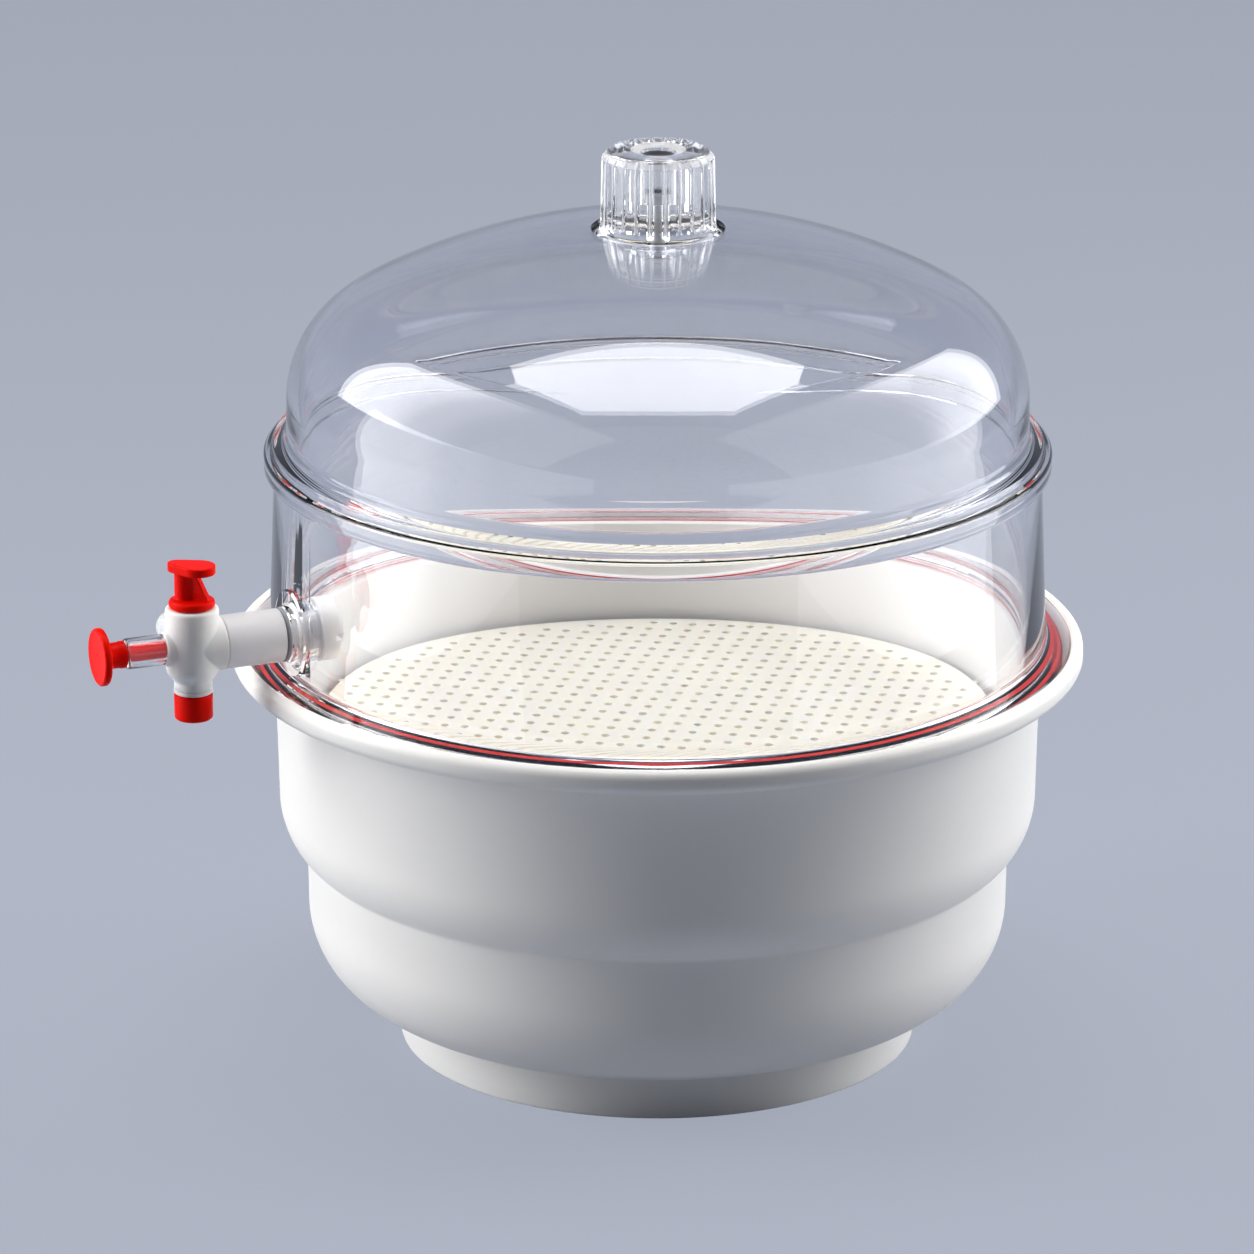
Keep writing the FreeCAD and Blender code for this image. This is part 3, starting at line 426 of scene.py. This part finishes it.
# Knob screw
# The stainless screw down the middle of the knob, which holds it on the cover. It was turned, and the lathe
# left a fine finish, drawn 0.7 mm wide so that it shows.

turned_steel, shader = new_material(
    "turned_stainless_steel", {"Base Color": colour("#B9BABC"), "Metallic": 1.0}
)
place = add_node(turned_steel, "ShaderNodeTexCoord").outputs["Object"]
lathe = add_node(turned_steel, "ShaderNodeTexNoise", {"Scale": 1500.0, "Detail": 2.0}, {"Vector": place})
gloss = add_node(
    turned_steel, "ShaderNodeMapRange", {"To Min": 0.22, "To Max": 0.4}, {"Value": lathe.outputs["Fac"]}
)
turned_steel.node_tree.links.new(gloss.outputs["Result"], shader.inputs["Roughness"])


def dress(node, material):
    """Gives a node of the frame its material."""
    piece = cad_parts[node]
    piece.data.materials.clear()
    piece.data.materials.append(material)


dress("knob_screw", turned_steel)

# Knob cap
# A small cap moulded in black polyethylene and pressed into the knob's well, just under the top, which
# hides the screw.

cap_outline = [(0, 26.9), (5.3, 26.9), (5.6, 27.0), (5.65, 27.4), (5.4, 27.75), (4.6, 27.85), (3.2, 27.45)]
cap_outline += [(0, 27.35)]
knob_cap = turned_piece("knob_well_cap", cap_outline, 64, at=(0, 0, knob_foot))
coat(knob_cap, rubbery("black_moulded_polyethylene", "#1B1C20", 0.3))
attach(knob_cap, "cover")

# Port seal
# A soft grey ring moulded in natural silicone, pressed between the cover's port and the shoulder of the
# stopcock's tube.

stopcock_place = (-167.0, 0, 159.0)
seal_outline = [(6.6, 30.7), (8.7, 30.7)] + rounded(8.8, 31.1, 0.4, -90, 0, 3)
seal_outline += rounded(8.8, 31.7, 0.4, 0, 90, 3) + [(6.6, 32.1)]
port_seal = turned_piece("port_sealing_ring", seal_outline, 96, closed=True, axis="X", at=stopcock_place)
natural_silicone = rubbery("natural_moulded_silicone", "#8E9096", 0.35)
coat(port_seal, natural_silicone)
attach(port_seal, "cover")
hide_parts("port_seal")

# Port nut
# The nut that draws the tube tight from inside the cover, with two slots for a key, in a warm white
# polypropylene that lets light deeper under its skin than the bowl's.

white_moulding = moulded_polypropylene(
    "warm_white_moulded_polypropylene", "#FBF7F2", "#F9F4EE", 0.7, 0.006, (1.0, 0.85, 0.75)
)
dress("port_nut", white_moulding)

# Spigot tube
# Natural polypropylene, moulded without pigment and left matt, so the tube is milky: light passes and shapes
# don't.


def frosted_polypropylene(name, tone, clearness, matt):
    """Unpigmented polypropylene: milky, waxy and half clear, with soft cloudy flow marks 6 mm wide."""
    material, shader = new_material(name, {"IOR": 1.49, "Transmission Weight": clearness})
    link = material.node_tree.links.new
    place = add_node(material, "ShaderNodeTexCoord").outputs["Object"]
    cloud = add_node(material, "ShaderNodeTexNoise", {"Scale": 1 / 0.00625, "Detail": 2.0}, {"Vector": place})
    tones = {"data_type": "RGBA", 6: colour(tone), 7: colour("#FFFFFF")}
    mix = add_node(material, "ShaderNodeMix", tones, {"Factor": cloud.outputs["Fac"]})
    link(mix.outputs[2], shader.inputs["Base Color"])
    waxy = {"To Min": matt - 0.06, "To Max": matt + 0.06}
    gloss = add_node(material, "ShaderNodeMapRange", waxy, {"Value": cloud.outputs["Fac"]})
    link(gloss.outputs["Result"], shader.inputs["Roughness"])
    return material


tube_outline = [(2.4, 7.6), (7.0, 7.6), (7.0, 10.02), (8.7, 10.02), (9.05, 10.4), (9.05, 30.0), (8.9, 30.4)]
tube_outline += [(8.5, 30.57), (6.5, 30.57), (6.5, 51.6), (6.1, 52.1), (2.9, 52.1), (2.4, 51.7)]
tube = turned_piece("spigot_moulding", tube_outline, 96, closed=True, axis="X", at=stopcock_place)
coat(tube, frosted_polypropylene("matt_unpigmented_polypropylene", "#FAF9FA", 0.45, 0.42))
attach(tube, "cover")
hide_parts("spigot_tube")

# Vent nozzle and hose nozzle
# Two plain nozzles of the same unpigmented polypropylene, from a polished mould, so the stopper's red stem
# shows through the one that it closes. Their tails are pressed into the barrel's sockets.

glossy_nozzle = frosted_polypropylene("polished_unpigmented_polypropylene", "#FDFCFD", 0.985, 0.06)
waxy_nozzle = frosted_polypropylene("waxy_unpigmented_polypropylene", "#F6F6FA", 0.75, 0.25)
vent_bore = [(3.9, 23.6), (3.72, 23.4), (3.72, 9.5), (2.4, 9.5), (2.4, 7.9)]
hose_bore = [(2.7, 23.6), (2.4, 23.3), (2.4, 7.9)]
nozzle_outside = [(4.4, 7.9), (4.4, 10.32), (5.0, 10.32), (5.2, 10.5), (5.2, 22.9), (5.1, 23.3), (4.8, 23.55)]
nozzle_outside += [(4.5, 23.6)]
for name, node, bore, axis, way, plastic in (
    ("vent_nozzle_moulding", "vent_nozzle", vent_bore, "X", -1, glossy_nozzle),
    ("hose_nozzle_moulding", "hose_nozzle", hose_bore, "Y", 1, waxy_nozzle),
):
    outline = [(r, way * along) for r, along in nozzle_outside + bore]
    nozzle = turned_piece(name, outline, 80, closed=True, axis=axis, at=stopcock_place)
    coat(nozzle, plastic)
    nozzle.visible_shadow = False
    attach(nozzle, "cover")
    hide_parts(node)

# Stopcock barrel
# The stopcock's body, one white polypropylene moulding: an upright barrel bored for the plug, a socket for
# each nozzle, a wider one for the tube, and a neck. Where they meet the mould leaves soft fillets.


def soften(piece, grain, passes):
    """Melts joined shapes into one skin with small fillets, as a mould leaves them. The grain is in m."""
    select_only(piece)
    skin = piece.modifiers.new("skin", "REMESH")
    skin.mode = "VOXEL"
    skin.voxel_size = grain
    bpy.ops.object.modifier_apply(modifier=skin.name)
    ease = piece.modifiers.new("ease", "SMOOTH")
    ease.factor = 0.5
    ease.iterations = passes
    bpy.ops.object.modifier_apply(modifier=ease.name)


skin_grain = 0.00024
barrel_outline = [(0, -14.6), (6.4, -14.6), (6.4, -12.8), (6.1, -12.2), (6.5, -11.7), (7.6, -10.2)]
barrel_outline += [(8.6, -8.9), (9.0, -7.5), (9.0, 12.6), (8.75, 13.25), (8.2, 13.5), (0, 13.5)]
vent_boss = [(0, 0), (5.7, 0), (5.7, -9.9), (5.4, -10.25), (4.9, -10.3), (0, -10.3)]
hose_boss = [(r, -along) for r, along in vent_boss]
tube_boss = [(0, 0), (8.9, 0), (9.1, 4.0), (9.1, 9.6), (8.9, 9.9), (8.5, 10.0), (0, 10.0)]
plug_bore = [(0, 20), (6.3, 20), (6.3, -11.0), (4.0, -11.0), (4.0, -20), (0, -20)]
sockets = [(0, -20), (4.45, -20), (4.45, -7.9), (2.4, -7.9), (2.4, 7.6), (7.05, 7.6), (7.05, 20), (0, 20)]
hose_socket = [(0, 0), (2.4, 0), (2.4, 7.9), (4.45, 7.9), (4.45, 20), (0, 20)]
barrel = turned_piece("barrel_moulding", barrel_outline, 128, at=stopcock_place)
for name, outline, axis, operation in (
    ("vent_boss", vent_boss, "X", "UNION"),
    ("hose_boss", hose_boss, "Y", "UNION"),
    ("tube_boss", tube_boss, "X", "UNION"),
    ("plug_bore", plug_bore, "Z", "DIFFERENCE"),
    ("nozzle_sockets", sockets, "X", "DIFFERENCE"),
    ("hose_socket", hose_socket, "Y", "DIFFERENCE"),
):
    cut_with(barrel, turned_piece(name, outline, 96, axis=axis, at=stopcock_place), operation)
soften(barrel, skin_grain, 3)
coat(barrel, white_moulding, 60)
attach(barrel, "cover")
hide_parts("stopcock_barrel")

# Slip washer
# A thin ring moulded in white polypropylene, loose between the neck and the red cap, on which the cap
# turns.

washer_outline = [(4.05, -16.2), (6.2, -16.2), (6.5, -15.9), (6.5, -14.9), (6.2, -14.6), (4.05, -14.6)]
washer = turned_piece("slip_ring", washer_outline, 80, closed=True, at=stopcock_place)
coat(washer, white_moulding)
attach(washer, "cover")
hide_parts("slip_washer")

# Key
# Lever, flange and plug, moulded in one piece in red polyethylene. The lever is a rounded plate on a round
# stem, with a web that leans against it, and the plug has a T-shaped passage that lines up with the sockets.

# Moulded polyethylene is an even red with faint flow marks 11 mm wide and an orange-peel skin of 1.4 mm. The
# skin mirrors little.
signal_red, shader = new_material(
    "signal_red_moulded_polyethylene",
    {
        "IOR": 1.51,
        "Specular IOR Level": 0.04,
        "Subsurface Weight": 0.08,
        "Subsurface Radius": (1.0, 0.2, 0.1),
        "Subsurface Scale": 0.0015,
    },
)
place = add_node(signal_red, "ShaderNodeTexCoord").outputs["Object"]
flow = add_node(signal_red, "ShaderNodeTexNoise", {"Scale": 90.0, "Detail": 2.0}, {"Vector": place})
reds = {"data_type": "RGBA", 6: colour("#E60D03"), 7: colour("#EC1205")}
mix = add_node(signal_red, "ShaderNodeMix", reds, {"Factor": flow.outputs["Fac"]})
signal_red.node_tree.links.new(mix.outputs[2], shader.inputs["Base Color"])
glossy = {"To Min": 0.16, "To Max": 0.28}
gloss = add_node(signal_red, "ShaderNodeMapRange", glossy, {"Value": flow.outputs["Fac"]})
signal_red.node_tree.links.new(gloss.outputs["Result"], shader.inputs["Roughness"])
peel = add_node(signal_red, "ShaderNodeTexNoise", {"Scale": 700.0, "Detail": 1.0}, {"Vector": place})
relief = {"Strength": 0.06, "Distance": 0.0001}
bump = add_node(signal_red, "ShaderNodeBump", relief, {"Height": peel.outputs["Fac"]})
signal_red.node_tree.links.new(bump.outputs["Normal"], shader.inputs["Normal"])

plug_outline = [(0, -24.0), (3.6, -24.0), (3.9, -23.7), (3.9, -10.7), (6.2, -10.7), (6.2, -9.0), (4.45, -9.0)]
plug_outline += [(4.45, -7.2), (6.2, -7.2), (6.2, 8.0), (4.45, 8.0), (4.45, 9.8), (6.2, 9.8), (6.2, 13.8)]
plug_outline += [(7.3, 13.8), (7.6, 14.0), (7.75, 14.4), (7.75, 15.5), (7.5, 16.1), (7.0, 16.4), (0, 16.4)]
key = turned_piece("red_key", plug_outline, 128)
stem = turned_piece("key_stem", [(0, 15.0), (3.3, 15.0), (3.3, 26.5), (0, 26.5)], 64, at=(2.7, 0, 0))

# The web is an upright block, in metres. Its side away from the stem leans out to its foot.
web_middle = (-0.0015, 0, 0.0208)
web_size = (0.0104, 0.0026, 0.0102)
web_top_reach = -0.0019
web_foot_reach = -0.0072
bpy.ops.object.select_all(action="DESELECT")
bpy.ops.mesh.primitive_cube_add(size=1, location=web_middle)
web = bpy.context.object
web.scale = web_size
bpy.ops.object.transform_apply(location=True, rotation=True, scale=True)
for point in web.data.vertices:
    if point.co.x < web_middle[0]:
        point.co.x = web_top_reach if point.co.z > web_middle[2] else web_foot_reach

# The lever is the hull of two discs, in metres, each with its radius and its place across the plug.
lever_thickness = 0.0029
lever_height = 0.02705
lever_wide_end = (0.0058, -0.0026)
lever_narrow_end = (0.0034, 0.005)
lever_edge = 0.0006
ends = []
for vertices, (radius, across) in ((96, lever_wide_end), (64, lever_narrow_end)):
    bpy.ops.object.select_all(action="DESELECT")
    bpy.ops.mesh.primitive_cylinder_add(
        vertices=vertices, radius=radius, depth=lever_thickness, location=(across, 0, lever_height)
    )
    ends.append(bpy.context.object)
lever = ends[0]
join_into(lever, ends[1:])
bpy.ops.object.transform_apply(location=True, rotation=True, scale=True)
bpy.ops.object.mode_set(mode="EDIT")
bpy.ops.mesh.select_all(action="SELECT")
bpy.ops.mesh.convex_hull()
bpy.ops.object.mode_set(mode="OBJECT")
edge = lever.modifiers.new("edge", "BEVEL")
edge.width = lever_edge
edge.segments = 3
edge.limit_method = "ANGLE"
bpy.ops.object.modifier_apply(modifier=edge.name)
for part in (stem, web, lever):
    cut_with(key, part, "UNION")
for name, outline, axis in (
    ("through_passage", [(0, -9), (2.0, -9), (2.0, 9), (0, 9)], "X"),
    ("branch_passage", [(0, 0), (2.0, 0), (2.0, 9), (0, 9)], "Y"),
):
    cut_with(key, turned_piece(name, outline, 64, axis=axis), "DIFFERENCE")
soften(key, skin_grain, 3)
key_turn = Matrix.Rotation(math.radians(135), 4, "Z")
key.data.transform(Matrix.Translation(Vector(stopcock_place) / 1000) @ key_turn)
coat(key, signal_red, 60)
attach(key, "key")
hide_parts("plug_key")

# Plug seals
# Two square rings moulded in natural silicone, stretched over the plug into its grooves, above and below
# its passages.

dress("plug_seal_upper", natural_silicone)
dress("plug_seal_lower", natural_silicone)

# Cap
# The cap moulded in the same red polyethylene and pushed on the plug's lower end, which keeps the key in
# the barrel and turns with it.

cap_outline = [(0, -25.4), (5.3, -25.4)] + rounded(5.3, -24.2, 1.2, -90, 0, 6)
cap_outline += [(6.5, -16.9), (6.35, -16.6), (6.1, -16.5), (4.2, -16.5), (3.98, -16.7), (3.98, -24.0)]
cap_outline += [(0, -24.0)]
cap = turned_piece("red_cap", cap_outline, 96, at=stopcock_place)
coat(cap, signal_red)
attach(cap, "key")
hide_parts("plug_cap")

# Stopper
# The stopper that closes the vent nozzle, moulded in the same red polyethylene: a stem that widens in the
# nozzle's mouth, a neck and a round plate for the fingers.

stopper_outline = [(0, -9.9), (2.7, -9.9), (2.95, -10.2), (2.95, -22.4), (3.65, -23.0), (3.65, -23.85)]
stopper_outline += [(4.3, -23.85), (4.6, -24.1), (4.6, -25.6), (4.4, -26.0), (4.35, -28.8), (4.6, -30.0)]
stopper_outline += [(5.4, -30.65), (6.2, -30.75), (8.9, -30.75)] + rounded(8.85, -31.65, 0.9, 90, 0, 4)
stopper_outline += rounded(8.85, -32.55, 0.9, 0, -90, 4) + [(8.3, -33.35), (7.6, -33.3), (0, -33.3)]
stopper = turned_piece("red_stopper", stopper_outline, 128, axis="X", at=stopcock_place)
coat(stopper, signal_red)
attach(stopper, "stopper")
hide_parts("vent_stopper")

# Floor
# A plain pale sweep of matt card, wide enough that the camera sees nothing past its edge. What the camera
# sees of it, directly, mirrored or through a clear piece, is evened out, as by a lit backdrop.


def seen_directly(holder):
    """1 for rays from the camera, from a mirror or through a clear piece, and 0 for those that light."""
    path = add_node(holder, "ShaderNodeLightPath")
    seen = path.outputs["Is Camera Ray"]
    for kind in ("Is Transmission Ray", "Is Glossy Ray"):
        either = {0: seen, 1: path.outputs[kind]}
        seen = add_node(holder, "ShaderNodeMath", {"operation": "MAXIMUM"}, either).outputs[0]
    return seen


floor_size = 9
floor_middle = (0, 1.5, 0)
even_share = 0.78
bpy.ops.object.select_all(action="DESELECT")
bpy.ops.mesh.primitive_plane_add(size=floor_size, location=floor_middle)
floor = bpy.context.object
floor.name = "pale_floor"
bpy.ops.object.transform_apply(location=True, rotation=True, scale=True)
pale_card, shader = new_material(
    "matt_pale_card", {"Base Color": colour("#959AA6"), "Roughness": 0.9, "Specular IOR Level": 0.1}
)
share = add_node(
    pale_card, "ShaderNodeMath", {"operation": "MULTIPLY", 1: even_share}, {0: seen_directly(pale_card)}
)
even = add_node(pale_card, "ShaderNodeEmission", {"Color": colour("#B2B8C7"), "Strength": 1.0})
both = {"Fac": share.outputs[0], 1: shader.outputs[0], 2: even.outputs[0]}
blend = add_node(pale_card, "ShaderNodeMixShader", {}, both)
surface = pale_card.node_tree.nodes["Material Output"].inputs["Surface"]
pale_card.node_tree.links.new(blend.outputs[0], surface)
floor.data.materials.append(pale_card)

# Lamps
# A softbox overhead, two graded panels at each side that are mirrored and light no matt surface, and five
# plain lamps that light the matt surfaces and aren't mirrored. The room looks pale and sheds little light.

# The camera's right and the way that it looks, level with the floor.
view_right = Vector((0.9272, -0.3746, 0))
view_away = Vector((0.3746, 0.9272, 0))


def softbox(name, place, aim, width, height, watts):
    """An area lamp at a place and turned to a point, each as right, away and up from the camera, in m."""
    lamp = bpy.data.lights.new(name, "AREA")
    lamp.shape = "RECTANGLE"
    lamp.size = width
    lamp.size_y = height
    lamp.energy = watts
    holder = bpy.data.objects.new(name, lamp)
    bpy.context.scene.collection.objects.link(holder)
    holder.location = view_right * place[0] + view_away * place[1] + Vector((0, 0, place[2]))
    target = view_right * aim[0] + view_away * aim[1] + Vector((0, 0, aim[2]))
    holder.rotation_euler = (target - holder.location).to_track_quat("-Z", "Y").to_euler()
    return holder


def grade(holder, stops, from_left):
    """Makes a lamp's face fade along its width through stops of (place, share), as behind a graded
    diffuser. The first two stops are the two ends."""
    holder.data.use_nodes = True
    glow = holder.data.node_tree.nodes["Emission"]
    spot = add_node(holder.data, "ShaderNodeNewGeometry")
    split = add_node(holder.data, "ShaderNodeSeparateXYZ", {}, {"Vector": spot.outputs["Parametric"]})
    ramp = add_node(holder.data, "ShaderNodeValToRGB", {}, {"Fac": split.outputs["X"]})
    ramp.color_ramp.interpolation = "EASE"
    elements = ramp.color_ramp.elements
    for number, (place_across, share) in enumerate(stops):
        where = place_across if from_left else 1 - place_across
        stop = elements[number] if number < 2 else elements.new(where)
        stop.position = where
        stop.color = (share, share, share, 1)
    holder.data.node_tree.links.new(ramp.outputs["Color"], glow.inputs["Strength"])


softbox("overhead_softbox", (0, 0.05, 1.3), (0, -0.46, 0.29), 0.70, 0.76, 7.2)

left_box_fade = ((0.0, 1.0), (1.0, 0.12), (0.32, 0.95), (0.47, 0.38), (0.65, 0.16))
left_card_fade = ((0.0, 1.0), (1.0, 0.22), (0.13, 0.9), (0.22, 0.55), (0.36, 0.34))
right_box_fade = ((0.0, 0.7), (1.0, 0.14), (0.18, 1.0), (0.42, 0.9), (0.6, 0.2))
right_card_fade = ((0.0, 0.8), (1.0, 0.33), (0.08, 1.0), (0.16, 0.9), (0.33, 0.5))
left_box = ((-0.407, -0.123, 0.567), (0.051, 0.017, 0.206), 0.95, 0.458, 5.6)
left_card = ((-0.5, -0.72, 0.205), (0, -0.72, 0.205), 1.5, 0.39, 4.2)
right_box = ((0.516, 0.03, 0.497), (0.006, 0.186, 0.182), 1.25, 0.588, 7.6)
right_card = ((0.5, -0.62, 0.13), (0, -0.62, 0.13), 1.5, 0.24, 1.9)
for name, place_and_size, fade, from_left in (
    ("left_softbox", left_box, left_box_fade, True),
    ("left_card", left_card, left_card_fade, True),
    ("right_softbox", right_box, right_box_fade, False),
    ("right_card", right_card, right_card_fade, False),
):
    panel = softbox(name, *place_and_size)
    grade(panel, fade, from_left)
    panel.visible_diffuse = False
for name, place, aim, width, height, watts in (
    ("left_key", (-1.2, -0.06, 0.7), (0, 0, 0.6), 0.6, 1.3, 9),
    ("right_key", (1.15, 0.15, 0.62), (0, 0, 0.5), 0.7, 1.1, 9.5),
    ("left_fill", (-1.3, 0.1, 0.45), (0, 0, 0.2), 0.8, 0.8, 13),
    ("right_fill", (1.2, 0.5, 0.5), (0, 0, 0.2), 0.8, 0.8, 11),
    ("top_fill", (0, 0.1, 1.6), (0, 0, 0.1), 1.4, 1.4, 6.5),
):
    fill = softbox(name, place, aim, width, height, watts)
    fill.visible_glossy = False
    fill.visible_transmission = False

room = bpy.data.worlds.new("studio_room")
bpy.context.scene.world = room
room.use_nodes = True
seen_room = room.node_tree.nodes["Background"]
heading = add_node(room, "ShaderNodeTexCoord")
split = add_node(room, "ShaderNodeSeparateXYZ", {}, {"Vector": heading.outputs["Generated"]})
wall_to_ceiling = {"From Min": 0.1, "From Max": 0.6, "To Min": 0.0, "To Max": 1.0}
upward = add_node(room, "ShaderNodeMapRange", wall_to_ceiling, {"Value": split.outputs["Z"]})
wall_and_ceiling = {"data_type": "RGBA", 6: colour("#A9AFBE"), 7: colour("#656A7C")}
walls = add_node(room, "ShaderNodeMix", wall_and_ceiling, {"Factor": upward.outputs["Result"]})
room.node_tree.links.new(walls.outputs[2], seen_room.inputs["Color"])
dim_room = add_node(room, "ShaderNodeBackground", {"Color": colour("#A9AFBE"), "Strength": 0.08})
both = {"Fac": seen_directly(room), 1: dim_room.outputs[0], 2: seen_room.outputs[0]}
blend = add_node(room, "ShaderNodeMixShader", {}, both)
room.node_tree.links.new(blend.outputs[0], room.node_tree.nodes["World Output"].inputs["Surface"])

# Camera
# The photograph's own angle: 22 degrees round from the front and 18 degrees down, from about 2.4 m away.

camera_round = -22
camera_down = 18.21
lens = bpy.data.cameras.new("studio_camera")
lens.lens = 212.67
lens.sensor_width = 36
camera = bpy.data.objects.new("studio_camera", lens)
bpy.context.scene.collection.objects.link(camera)
camera.location = (-0.9087, -2.2213, 0.9345)
camera.rotation_euler = (math.radians(90 - camera_down), 0, math.radians(camera_round))
bpy.context.scene.camera = camera
bpy.context.scene.view_settings.view_transform = "Standard"
